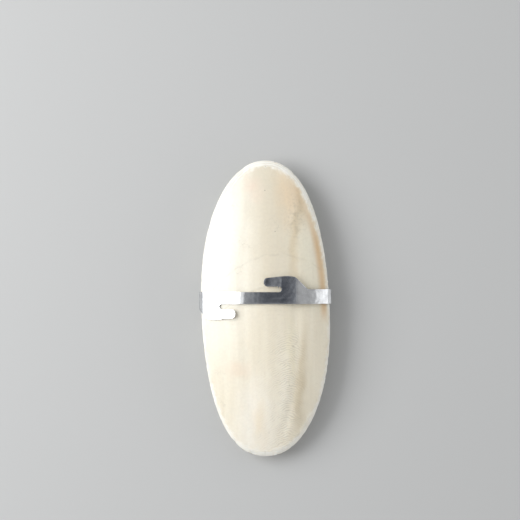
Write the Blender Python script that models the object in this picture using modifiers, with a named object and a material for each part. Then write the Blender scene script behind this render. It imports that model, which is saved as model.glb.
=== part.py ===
"""A cuttlebone in the bent tinplate clip that hooks it on to a cage.

The bone lies on its soft belly with its hard back up. +Y points to its front end and +X to
its right, seen from above. The origin is on the ground, below the middle of the bone.
"""

import math

import bmesh
import bpy
from mathutils import Matrix, Vector, geometry

MM = 0.001

# Bone, seen from above
BONE_LENGTH = 120.0 * MM
BONE_WIDTH = 51.9 * MM
FRONT_FULLNESS = 2.15
REAR_FULLNESS = 2.22
SWAY = 0.65 * MM

# Bone, seen from the side: its edge line, the hard back above it and the belly below it
EDGE_HEIGHT = 10.6 * MM
FRONT_EDGE_DROP = 2.2 * MM
REAR_EDGE_DROP = 4.4 * MM
BACK_RISE = 6.8 * MM
BACK_TAPER = 2.6
BACK_ROUNDNESS = 2.3
BELLY_DEPTH = 11.1 * MM
BELLY_WIDTH_FULLNESS = 2.2
FRONT_BELLY_TAPER = (2.6, 1.7)
REAR_BELLY_TAPER = (2.2, 1.6)

# Chalk bevel ground round the rim of the hard back
SIDE_BEVEL = 1.25 * MM
FRONT_BEVEL = 2.7 * MM
REAR_BEVEL = 2.1 * MM
SIDE_BEVEL_RISE = 1.2 * MM
END_BEVEL_RISE = 1.8 * MM
BEVEL_BULGE = 0.12 * MM

# Low rib along the back, between two furrows, as shares of the half width and half length
RIB_CENTRE = 0.08
RIB_HALF_WIDTH = 0.22
RIB_HEIGHT = 0.25 * MM
FURROW_OFFSET = 0.42
FURROW_HALF_WIDTH = 0.09
RIGHT_FURROW_DEPTH = 0.40 * MM
LEFT_FURROW_DEPTH = 0.22 * MM
FURROW_SHALLOWING = (-0.05, 0.6)
FURROW_FRONT_LOSS = 0.6
RELIEF_SIDE_FADE = 0.15
RELIEF_END_FADE = (0.03, 0.30)

# Groove along the belly, and the low U-shaped ledge of the cone at its rear end
GROOVE_DEPTH = 0.9 * MM
GROOVE_HALF_WIDTH = 4.0 * MM
GROOVE_START = (0.10, 0.72)
GROOVE_END = (-0.96, -0.82)
CONE_REAR = -50.5 * MM
CONE_LIMBS = (40.0 * MM, 47.0 * MM)
CONE_SPREAD = 0.028 / MM
CONE_HEIGHT = 0.9 * MM
CONE_HALF_WIDTH = 2.4 * MM

# Faces of the bone
ROWS = 68
COLUMNS = 60
BEVEL_COLUMNS = 2

# Clip: a flat strip with a hook on each edge, the same after half a turn
CLIP_CENTRE_X = -6.37 * MM
CLIP_CENTRE_Y = 4.45 * MM
SHEET = 0.5 * MM
GAP = 0.3 * MM
STRAP_HALF_WIDTH = 2.37 * MM
WIDE_EDGE = 3.5 * MM
SLOT_WIDTH = 2.24 * MM
SLOT_END = 12.76 * MM
HOOK_TIP = 5.64 * MM
HOOK_TOP = 8.96 * MM
HOOK_TIP_TOP = 7.97 * MM
HOOK_CREST = 15.5 * MM
SHOULDER_TOP = (18.3 * MM, 8.46 * MM)
SHOULDER_FOOT = 23.6 * MM
SLOT_ROUNDING = 0.49
TIP_ROUNDING = 0.46
CREST_RADIUS = 12.0 * MM
SHOULDER_RADIUS = 1.1 * MM
FOOT_RADIUS = 1.8 * MM
CLAW_CORNER = 1.6 * MM
HOOK_LIFT = math.radians(2.5)

# Clip's path round the bone: the two bends beside its flat top, and its claws
LEFT_BEND_X = -7.8 * MM
LEFT_BEND_RADIUS = 10.0 * MM
RIGHT_BEND_X = 11.65 * MM
RIGHT_BEND_RADIUS = 2.5 * MM
BEND_SWEEP = math.radians(36)
LEFT_CLAW = 15.0 * MM
RIGHT_CLAW = 9.5 * MM

# Fineness of the curves
SECTION_POINTS = 72
BEND_STEPS = 6
ARC_STEP = math.radians(32)
SHARP_ANGLE = math.radians(35)
SHORTEST_STEP = 0.05 * MM
WELD_DISTANCE = 0.001 * MM
CUT_DISTANCE = 0.002 * MM


def fullness(along):
    """Superellipse exponent of the outline, fuller in the rear half."""
    return FRONT_FULLNESS if along > 0 else REAR_FULLNESS


def half_width(along, width):
    """Half the width at a share of the half length, 0 at the middle and 1 or -1 at an end."""
    power = fullness(along)
    return 0.5 * width * max(0.0, 1.0 - abs(along) ** power) ** (1.0 / power)


def middle_line(along):
    """How far the bone's middle line lies to the right."""
    return -SWAY * math.sin(math.pi * along)


def edge_height(along):
    """Height of the widest line, which sinks towards both ends."""
    drop = FRONT_EDGE_DROP if along > 0 else REAR_EDGE_DROP
    return EDGE_HEIGHT - drop * along * along


def bump(distance, half):
    """A smooth hump, 1 at distance 0 and near 0 past twice the half width."""
    return math.exp(-((distance / half) ** 2))


def ramp(value, start, end):
    """0 before start, 1 after end, smooth between them."""
    share = min(1.0, max(0.0, (value - start) / (end - start)))
    return share * share * (3.0 - 2.0 * share)


def back_relief(along, across):
    """Rib and furrows of the hard back, which fade out at its rim and front end."""
    rib = RIB_HEIGHT * bump(across - RIB_CENTRE, RIB_HALF_WIDTH)
    right = RIGHT_FURROW_DEPTH * bump(across - RIB_CENTRE - FURROW_OFFSET, FURROW_HALF_WIDTH)
    left = LEFT_FURROW_DEPTH * bump(across - RIB_CENTRE + FURROW_OFFSET, FURROW_HALF_WIDTH)
    fade = ramp(1.0 - abs(across), 0.0, RELIEF_SIDE_FADE) * ramp(1.0 - abs(along), *RELIEF_END_FADE)
    furrows = (right + left) * (1.0 - FURROW_FRONT_LOSS * ramp(along, *FURROW_SHALLOWING))
    return (rib - furrows) * fade


def back_point(along, across):
    """A point of the hard back, with across from -1 at its left edge to 1 at its right."""
    bevel = FRONT_BEVEL if along > 0 else REAR_BEVEL
    rise = SIDE_BEVEL_RISE + (END_BEVEL_RISE - SIDE_BEVEL_RISE) * along * along
    dome = (1.0 - abs(along) ** BACK_TAPER) * (1.0 - abs(across) ** BACK_ROUNDNESS)
    return Vector((
        across * half_width(along, BONE_WIDTH - 2.0 * SIDE_BEVEL) + middle_line(along),
        along * (0.5 * BONE_LENGTH - bevel),
        edge_height(along) + rise + BACK_RISE * dome + back_relief(along, across),
    ))


def belly_depth(along):
    """Depth of the belly below the edge line, on the middle line."""
    length_power, depth_power = FRONT_BELLY_TAPER if along > 0 else REAR_BELLY_TAPER
    return BELLY_DEPTH * (1.0 - abs(along) ** length_power) ** (1.0 / depth_power)


def belly_relief(x, y):
    """Groove of the striped zone, as a height, less the cone's ledge at the rear end."""
    along = 2.0 * y / BONE_LENGTH
    reach = ramp(-along, *GROOVE_START) * ramp(along, *GROOVE_END)
    groove = GROOVE_DEPTH * bump(x - middle_line(along), GROOVE_HALF_WIDTH) * reach
    ledge_line = CONE_REAR + CONE_SPREAD * x * x
    limbs = ramp(-y, *CONE_LIMBS)
    return groove - CONE_HEIGHT * bump(y - ledge_line, CONE_HALF_WIDTH) * limbs


def belly_point(along, turn):
    """A point of the soft belly, with turn from 0 at its right edge to pi at its left."""
    cosine = math.cos(turn)
    across = math.copysign(abs(cosine) ** (2.0 / BELLY_WIDTH_FULLNESS), cosine)
    x = across * half_width(along, BONE_WIDTH) + middle_line(along)
    y = 0.5 * BONE_LENGTH * along
    scuffed = max(0.0, edge_height(along) - belly_depth(along) * math.sin(turn))
    return Vector((x, y, scuffed + belly_relief(x, y) * math.sin(turn)))


def bone_point(along, turn):
    """A point of the bone's section, with turn from 0 at the right edge up over the back."""
    if turn <= 0.0:
        return belly_point(along, -turn)
    bevel_turn = BEVEL_COLUMNS * 2.0 * math.pi / COLUMNS
    from_edge = min(turn, math.pi - turn)
    if from_edge >= bevel_turn:
        share = (turn - bevel_turn) / (math.pi - 2.0 * bevel_turn)
        return back_point(along, 1.0 - 2.0 * share)
    side = math.copysign(1.0, math.cos(turn))
    share = from_edge / bevel_turn
    edge = belly_point(along, 0.0 if side > 0 else math.pi)
    point = edge.lerp(back_point(along, side), share)
    point.z += BEVEL_BULGE * math.sin(math.pi * share)
    return point


def finish(mesh, name, material, collection):
    """Put the mesh in an object of its own, smooth but for its sharp edges."""
    mesh.shade_smooth()
    mesh.set_sharp_from_angle(angle=SHARP_ANGLE)
    mesh.materials.append(material)
    part = bpy.data.objects.new(name, mesh)
    collection.objects.link(part)
    return part


def make_material(name, colour, roughness, metallic):
    """A plain surface material."""
    material = bpy.data.materials.new(name)
    material.use_nodes = True
    shader = material.node_tree.nodes["Principled BSDF"]
    shader.inputs["Base Color"].default_value = (*colour, 1.0)
    shader.inputs["Roughness"].default_value = roughness
    shader.inputs["Metallic"].default_value = metallic
    return material


def make_bone(collection):
    """The bone: a sphere with its poles at the two ends, drawn out to the bone's form."""
    bm = bmesh.new()
    bmesh.ops.create_uvsphere(bm, u_segments=COLUMNS, v_segments=ROWS, radius=1.0)
    for vert in bm.verts:
        along = max(-1.0, min(1.0, -vert.co.z))
        on_axis = math.hypot(vert.co.x, vert.co.y) < 1e-6
        turn = 0.0 if on_axis else math.atan2(vert.co.y, vert.co.x)
        vert.co = bone_point(along, turn)
    mesh = bpy.data.meshes.new("cuttlebone")
    bm.to_mesh(mesh)
    bm.free()
    material = make_material("aragonite", (0.80, 0.73, 0.60), 0.75, 0.0)
    return finish(mesh, "cuttlebone", material, collection)


def bend_arc(x, crown, radius):
    """Points (x, z) of a bend that leaves the strap's flat top at x, to the side of the radius' sign."""
    for step in range(BEND_STEPS + 1):
        turn = BEND_SWEEP * step / BEND_STEPS
        yield Vector((x + radius * math.sin(turn), crown - abs(radius) * (1.0 - math.cos(turn))))


def strap_path():
    """Middle of the sheet round the bone, as points (x, z) from its left claw over its top.

    The sheet is pulled tight round the bone and over two bends that hold its top flat, so it
    is the hull of the bone's sections and the bends, moved out by the gap and half the sheet.
    """
    around = []
    for y in (CLIP_CENTRE_Y - WIDE_EDGE, CLIP_CENTRE_Y, CLIP_CENTRE_Y + WIDE_EDGE):
        for step in range(SECTION_POINTS):
            turn = math.pi * (2.0 * step / SECTION_POINTS - 1.0)
            point = bone_point(2.0 * y / BONE_LENGTH, turn)
            around.append(Vector((point.x, point.z)))
    crown = max(point.y for point in around)
    around += bend_arc(LEFT_BEND_X, crown, -LEFT_BEND_RADIUS)
    around += bend_arc(RIGHT_BEND_X, crown, RIGHT_BEND_RADIUS)
    hull = [around[index] for index in geometry.convex_hull_2d(around)]
    if sum(a.cross(b) for a, b in zip(hull, hull[1:] + hull[:1])) > 0.0:
        hull.reverse()
    first = min(range(len(hull)), key=lambda index: hull[index].y)
    hull = hull[first:] + hull[:first]
    offset = GAP + 0.5 * SHEET
    path = []
    for before, corner, after in zip(hull[-1:] + hull[:-1], hull, hull[1:] + hull[:1]):
        for start, end in ((before, corner), (corner, after)):
            along = (end - start).normalized()
            point = corner + offset * Vector((-along.y, along.x))
            if not path or (point - path[-1]).length > SHORTEST_STEP:
                path.append(point)
    return path


class BentStrap:
    """The strap's path, read by its length from the clip's middle, positive to the right."""

    def __init__(self):
        self.points = strap_path()
        self.lengths = [0.0]
        for before, after in zip(self.points, self.points[1:]):
            self.lengths.append(self.lengths[-1] + (after - before).length)
        middle = self.length_at_x(CLIP_CENTRE_X)
        self.lengths = [length - middle for length in self.lengths]

    def top_pairs(self):
        """Index pairs of neighbours that lie above the bone's edge line."""
        for index in range(len(self.points) - 1):
            if min(self.points[index].y, self.points[index + 1].y) > EDGE_HEIGHT:
                yield index

    def length_at_x(self, x):
        """Length along the path where its upper side passes x."""
        for index in self.top_pairs():
            start, end = self.points[index], self.points[index + 1]
            if start.x <= x <= end.x:
                share = (x - start.x) / (end.x - start.x)
                return self.lengths[index] + share * (end - start).length
        raise ValueError("x lies beside the bone")

    def edge_length(self, side):
        """Length along the path at its outermost point on the left (-1) or right (1)."""
        index = max(range(len(self.points)), key=lambda item: side * self.points[item].x)
        return self.lengths[index]

    def point_and_direction(self, length):
        """The path's point at a length, and its direction there."""
        index = 0
        while index < len(self.points) - 2 and self.lengths[index + 1] < length - 1e-9:
            index += 1
        start, end = self.points[index], self.points[index + 1]
        direction = (end - start).normalized()
        return start + direction * (length - self.lengths[index]), direction


def rounded_outline(corners):
    """Points of a closed outline whose corners (x, y, radius) are rounded by arcs."""
    outline = []
    for before, corner, after in zip(corners[-1:] + corners[:-1], corners, corners[1:] + corners[:1]):
        here = Vector(corner[:2])
        back = (Vector(before[:2]) - here).normalized()
        ahead = (Vector(after[:2]) - here).normalized()
        half_angle = 0.5 * back.angle(ahead)
        radius = corner[2]
        centre = here + (back + ahead).normalized() * radius / math.sin(half_angle)
        first = here + back * radius / math.tan(half_angle) - centre
        sweep = math.copysign(math.pi - 2.0 * half_angle, ahead.cross(back))
        steps = max(1, math.ceil(abs(sweep) / ARC_STEP))
        for step in range(steps + 1):
            turned = first.copy()
            turned.rotate(Matrix.Rotation(sweep * step / steps, 2))
            outline.append(centre + turned)
    return outline


def hook_corners(end):
    """Corners of one hooked edge, from the slot's closed end out to the strap's end."""
    slot_low = STRAP_HALF_WIDTH
    slot_high = slot_low + SLOT_WIDTH
    slot_round = SLOT_ROUNDING * SLOT_WIDTH
    tip_round = TIP_ROUNDING * (HOOK_TIP_TOP - slot_high)
    return [
        (SLOT_END, slot_low, slot_round),
        (SLOT_END, slot_high, slot_round),
        (HOOK_TIP, slot_high, tip_round),
        (HOOK_TIP, HOOK_TIP_TOP, tip_round),
        (HOOK_CREST, HOOK_TOP, CREST_RADIUS),
        (*SHOULDER_TOP, SHOULDER_RADIUS),
        (SHOULDER_FOOT, WIDE_EDGE, FOOT_RADIUS),
        (end, WIDE_EDGE, CLAW_CORNER),
        (end, -STRAP_HALF_WIDTH, CLAW_CORNER),
    ]


def flat_blank(left_end, right_end):
    """The clip before it is bent: a filled flat outline, as a mesh."""
    right = hook_corners(right_end)
    left = [(-x, -y, radius) for x, y, radius in hook_corners(-left_end)]
    outline = rounded_outline(left + right)
    curve = bpy.data.curves.new("clip_blank", "CURVE")
    curve.dimensions = "2D"
    curve.fill_mode = "BOTH"
    spline = curve.splines.new("POLY")
    spline.points.add(len(outline) - 1)
    for point, place in zip(spline.points, outline):
        point.co = (place.x, place.y, 0.0, 1.0)
    spline.use_cyclic_u = True
    holder = bpy.data.objects.new("clip_blank", curve)
    bpy.context.scene.collection.objects.link(holder)
    graph = bpy.context.evaluated_depsgraph_get()
    mesh = bpy.data.meshes.new_from_object(holder.evaluated_get(graph))
    bpy.data.objects.remove(holder)
    bpy.data.curves.remove(curve)
    return mesh


def bend_point(strap, flat):
    """Where a point of the flat blank lies on the bent clip."""
    length, across = flat.x, flat.y
    side = math.copysign(1.0, across)
    in_hook = abs(across) > STRAP_HALF_WIDTH + 0.5 * SLOT_WIDTH
    inward = SLOT_END - side * length
    if in_hook and inward > 0.0:
        root, direction = strap.point_and_direction(side * SLOT_END)
        direction.rotate(Matrix.Rotation(-side * HOOK_LIFT, 2))
        place = root - side * inward * direction
    else:
        place, _ = strap.point_and_direction(length)
    return Vector((place.x, across, place.y))


def make_clip(collection):
    """The clip: the flat blank cut across at every bend, wrapped round the bone."""
    strap = BentStrap()
    left_end = strap.edge_length(-1) - LEFT_CLAW
    right_end = strap.edge_length(1) + RIGHT_CLAW
    mesh = flat_blank(left_end, right_end)
    bm = bmesh.new()
    bm.from_mesh(mesh)
    bmesh.ops.remove_doubles(bm, verts=bm.verts, dist=WELD_DISTANCE)
    stations = [length for length in strap.lengths if left_end < length < right_end]
    for station in stations + [-SLOT_END, SLOT_END]:
        everything = bm.verts[:] + bm.edges[:] + bm.faces[:]
        bmesh.ops.bisect_plane(
            bm, geom=everything, plane_co=(station, 0, 0), plane_no=(1, 0, 0), dist=CUT_DISTANCE,
        )
    for vert in bm.verts:
        vert.co = bend_point(strap, vert.co)
    bmesh.ops.recalc_face_normals(bm, faces=bm.faces)
    bm.to_mesh(mesh)
    bm.free()
    mesh.name = "holder_clip"
    material = make_material("tinplate", (0.62, 0.63, 0.66), 0.22, 1.0)
    clip = finish(mesh, "holder_clip", material, collection)
    clip.location.y = CLIP_CENTRE_Y
    wall = clip.modifiers.new("sheet", "SOLIDIFY")
    wall.thickness = SHEET
    wall.offset = 0.0
    wall.use_even_offset = True
    return clip


def main():
    """Clear the scene and build the bone and its clip."""
    for old in list(bpy.data.objects):
        bpy.data.objects.remove(old)
    collection = bpy.data.collections.new("cuttlebone_with_clip")
    bpy.context.scene.collection.children.link(collection)
    make_bone(collection)
    make_clip(collection)


main()
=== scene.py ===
"""A cuttlebone in its bent tin clip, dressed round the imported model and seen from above."""

import logging
import math
from dataclasses import dataclass, field
from enum import Enum

import bmesh
import bpy
import numpy as np
from mathutils import Matrix, Vector, geometry, kdtree, noise


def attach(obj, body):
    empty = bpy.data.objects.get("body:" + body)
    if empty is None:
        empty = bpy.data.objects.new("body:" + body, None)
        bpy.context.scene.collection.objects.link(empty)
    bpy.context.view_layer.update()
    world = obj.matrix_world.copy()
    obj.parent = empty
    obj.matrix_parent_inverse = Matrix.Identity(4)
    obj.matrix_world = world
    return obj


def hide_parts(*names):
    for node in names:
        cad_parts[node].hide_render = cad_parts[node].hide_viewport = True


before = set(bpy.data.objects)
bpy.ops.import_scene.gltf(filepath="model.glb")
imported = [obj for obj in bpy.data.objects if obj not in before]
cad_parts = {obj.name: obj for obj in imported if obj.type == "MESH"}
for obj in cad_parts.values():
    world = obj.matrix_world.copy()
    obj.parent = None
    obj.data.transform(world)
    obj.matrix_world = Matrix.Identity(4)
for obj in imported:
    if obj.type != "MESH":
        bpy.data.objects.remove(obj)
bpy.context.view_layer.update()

MM = 0.001
LOG = logging.getLogger("cuttlebone")
Tree = bpy.types.NodeTree
Node = bpy.types.Node
Feed = bpy.types.Node | bpy.types.NodeSocket        # what may feed an input; of a node its first output


def linear(colour: str) -> tuple[float, float, float, float]:
    """Turn an sRGB hex colour into the linear values that a shader takes.

    Args:
        colour: The colour as "#RRGGBB".

    Returns:
        Linear red, green, blue and an alpha of 1.
    """
    parts = [int(colour[at:at + 2], 16) / 255.0 for at in (1, 3, 5)]
    return (*(p / 12.92 if p <= 0.04045 else ((p + 0.055) / 1.055) ** 2.4 for p in parts), 1.0)


def add(tree: Tree, kind: str, inputs: dict[str | int, object] | None = None, **settings: object) -> Node:
    """Add a node, set it up and link what feeds it.

    Args:
        tree: The node tree that the node goes in.
        kind: The node's type name.
        inputs: Socket name or index, to a value, a socket, or a node whose first output is used.
        **settings: Properties of the node itself.

    Returns:
        The new node.
    """
    node = tree.nodes.new(kind)
    for name, value in settings.items():
        setattr(node, name, value)
    for key, value in (inputs or {}).items():
        named = isinstance(key, str)
        socket = next(s for s in node.inputs if s.enabled and s.name == key) if named else node.inputs[key]
        if isinstance(value, Node):
            value = next(s for s in value.outputs if s.enabled)
        if isinstance(value, bpy.types.NodeSocket):
            tree.links.new(value, socket)
        else:
            socket.default_value = value
    return node


class Side(Enum):
    """A side of the bone seen from above. The value is the sign of x there."""

    LEFT = -1.0
    RIGHT = 1.0


@dataclass(frozen=True)
class BoneForm:
    """The grown form of the bone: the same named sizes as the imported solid, in metres."""

    length: float = 120.0 * MM
    width: float = 51.9 * MM
    front_fullness: float = 2.15
    rear_fullness: float = 2.22
    sway: float = 0.65 * MM
    edge_height: float = 10.6 * MM
    front_edge_drop: float = 2.2 * MM
    rear_edge_drop: float = 4.4 * MM
    back_rise: float = 6.8 * MM
    back_taper: float = 2.6
    back_roundness: float = 2.3
    belly_depth: float = 11.1 * MM
    belly_width_fullness: float = 2.2
    front_belly_taper: tuple[float, float] = (2.6, 1.7)
    rear_belly_taper: tuple[float, float] = (2.2, 1.6)
    side_bevel: float = 1.25 * MM
    front_bevel: float = 2.7 * MM
    rear_bevel: float = 2.1 * MM
    side_bevel_rise: float = 1.2 * MM
    end_bevel_rise: float = 1.8 * MM
    bevel_bulge: float = 0.12 * MM
    rib_centre: float = 0.08
    rib_half_width: float = 0.22
    rib_height: float = 0.25 * MM
    furrow_offset: float = 0.42
    furrow_half_width: float = 0.09
    right_furrow_depth: float = 0.40 * MM
    left_furrow_depth: float = 0.22 * MM
    furrow_shallowing: tuple[float, float] = (-0.05, 0.6)
    furrow_front_loss: float = 0.6
    relief_side_fade: float = 0.15
    relief_end_fade: tuple[float, float] = (0.03, 0.30)
    groove_depth: float = 0.9 * MM
    groove_half_width: float = 4.0 * MM
    groove_start: tuple[float, float] = (0.10, 0.72)
    groove_end: tuple[float, float] = (-0.96, -0.82)
    cone_rear: float = -50.5 * MM
    cone_limbs: tuple[float, float] = (40.0 * MM, 47.0 * MM)
    cone_spread: float = 0.028 / MM
    cone_height: float = 0.9 * MM
    cone_half_width: float = 2.4 * MM

    @staticmethod
    def ramp(value: np.ndarray, start: float, end: float) -> np.ndarray:
        """Run smoothly from 0 before start to 1 after end."""
        share = np.clip((value - start) / (end - start), 0.0, 1.0)
        return share * share * (3.0 - 2.0 * share)

    @staticmethod
    def bump(distance: np.ndarray, half: float) -> np.ndarray:
        """Give a smooth hump, 1 at distance 0 and near 0 past twice the half width."""
        return np.exp(-((distance / half) ** 2))

    def half_width(self, along: np.ndarray, width: float) -> np.ndarray:
        """Give half the width at a share of the half length."""
        power = np.where(along > 0.0, self.front_fullness, self.rear_fullness)
        return 0.5 * width * np.maximum(0.0, 1.0 - np.abs(along) ** power) ** (1.0 / power)

    def middle_line(self, along: np.ndarray) -> np.ndarray:
        """Give how far the bone's middle line lies to the right."""
        return -self.sway * np.sin(math.pi * along)

    def edge_line(self, along: np.ndarray) -> np.ndarray:
        """Give the height of the widest line, which sinks towards both ends."""
        drop = np.where(along > 0.0, self.front_edge_drop, self.rear_edge_drop)
        return self.edge_height - drop * along * along

    def back_relief(self, along: np.ndarray, across: np.ndarray) -> np.ndarray:
        """Give the rib and furrows of the hard back, fading at its rim and ends."""
        rib = self.rib_height * self.bump(across - self.rib_centre, self.rib_half_width)
        right = self.bump(across - self.rib_centre - self.furrow_offset, self.furrow_half_width)
        left = self.bump(across - self.rib_centre + self.furrow_offset, self.furrow_half_width)
        furrows = self.right_furrow_depth * right + self.left_furrow_depth * left
        furrows = furrows * (1.0 - self.furrow_front_loss * self.ramp(along, *self.furrow_shallowing))
        fade = self.ramp(1.0 - np.abs(across), 0.0, self.relief_side_fade)
        return (rib - furrows) * fade * self.ramp(1.0 - np.abs(along), *self.relief_end_fade)

    def back(self, along: np.ndarray, across: np.ndarray) -> np.ndarray:
        """Place points on the hard back.

        Args:
            along: Shares of the half length, 1 at the front end.
            across: Shares of the half width, 1 at the right edge of the hard back.

        Returns:
            The points, one row each.
        """
        bevel = np.where(along > 0.0, self.front_bevel, self.rear_bevel)
        rise = self.side_bevel_rise + (self.end_bevel_rise - self.side_bevel_rise) * along * along
        dome = (1.0 - np.abs(along) ** self.back_taper) * (1.0 - np.abs(across) ** self.back_roundness)
        x = across * self.half_width(along, self.width - 2.0 * self.side_bevel) + self.middle_line(along)
        y = along * (0.5 * self.length - bevel)
        z = self.edge_line(along) + rise + self.back_rise * dome + self.back_relief(along, across)
        return np.stack(np.broadcast_arrays(x, y, z), axis=-1)

    def belly(self, along: np.ndarray, turn: np.ndarray) -> np.ndarray:
        """Place points on the soft belly and its flanks.

        Args:
            along: Shares of the half length, 1 at the front end.
            turn: Angles round the belly, from 0 at the right edge to pi at the left.

        Returns:
            The points, one row each.
        """
        cosine, sine = np.cos(turn), np.sin(turn)
        across = np.sign(cosine) * np.abs(cosine) ** (2.0 / self.belly_width_fullness)
        x = across * self.half_width(along, self.width) + self.middle_line(along)
        y = 0.5 * self.length * along
        powers = [np.where(along > 0.0, *pair) for pair in zip(self.front_belly_taper, self.rear_belly_taper)]
        depth = self.belly_depth * np.maximum(0.0, 1.0 - np.abs(along) ** powers[0]) ** (1.0 / powers[1])
        scuffed = np.maximum(0.0, self.edge_line(along) - depth * sine)
        reach = self.ramp(-along, *self.groove_start) * self.ramp(along, *self.groove_end)
        groove = self.groove_depth * self.bump(x - self.middle_line(along), self.groove_half_width) * reach
        limbs = self.ramp(-y, *self.cone_limbs)
        ledge = self.bump(y - self.cone_rear - self.cone_spread * x * x, self.cone_half_width)
        z = scuffed + (groove - self.cone_height * ledge * limbs) * sine
        return np.stack(np.broadcast_arrays(x, y, z), axis=-1)

    def section(self, along: float, points: int) -> np.ndarray:
        """Give the whole section at one share of the length, as rows of x and z."""
        across = np.linspace(-1.0, 1.0, points)
        turn = np.linspace(0.0, math.pi, points)
        place = np.full(points, along)
        return np.vstack([self.back(place, across), self.belly(place, turn)])[:, [0, 2]]


@dataclass(frozen=True)
class TonePatch:
    """A soft oval patch of another tone: a real stain, or painted light. Places and sizes are in millimetres,
    from above.
    """

    x: float
    y: float
    half_width: float
    half_length: float
    tone: str
    strength: float
    lean: float = 0.0

    def share(self, tree: Tree, place: Feed) -> Node:
        """Tell how strong the patch is at each place.

        Args:
            tree: The material's node tree.
            place: Object coordinates, already warped so that outlines come out ragged.

        Returns:
            The node with the share, from 0 at the outline to the patch's strength at its middle.
        """
        oval = add(
            tree, "ShaderNodeMapping",
            {"Vector": place, "Location": (self.x * MM, self.y * MM, 0.0), "Rotation": (0.0, 0.0, self.lean),
             "Scale": (self.half_width * MM, self.half_length * MM, 1.0)},
            vector_type="TEXTURE",
        )
        far = add(tree, "ShaderNodeVectorMath", {0: oval}, operation="LENGTH")
        return add(
            tree, "ShaderNodeMapRange", {"Value": far, 1: 1.0, 2: 0.0, 4: self.strength},
            interpolation_type="SMOOTHSTEP",
        )

    def over(self, tree: Tree, place: Feed, under: Feed) -> Node:
        """Lay the patch over a colour.

        Args:
            tree: The material's node tree.
            place: Object coordinates, already warped so that outlines come out ragged.
            under: The node with the colour below.

        Returns:
            The node with the new colour.
        """
        return add(
            tree, "ShaderNodeMix",
            {"Factor": self.share(tree, place), "A": under, "B": linear(self.tone)}, data_type="RGBA",
        )


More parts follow.
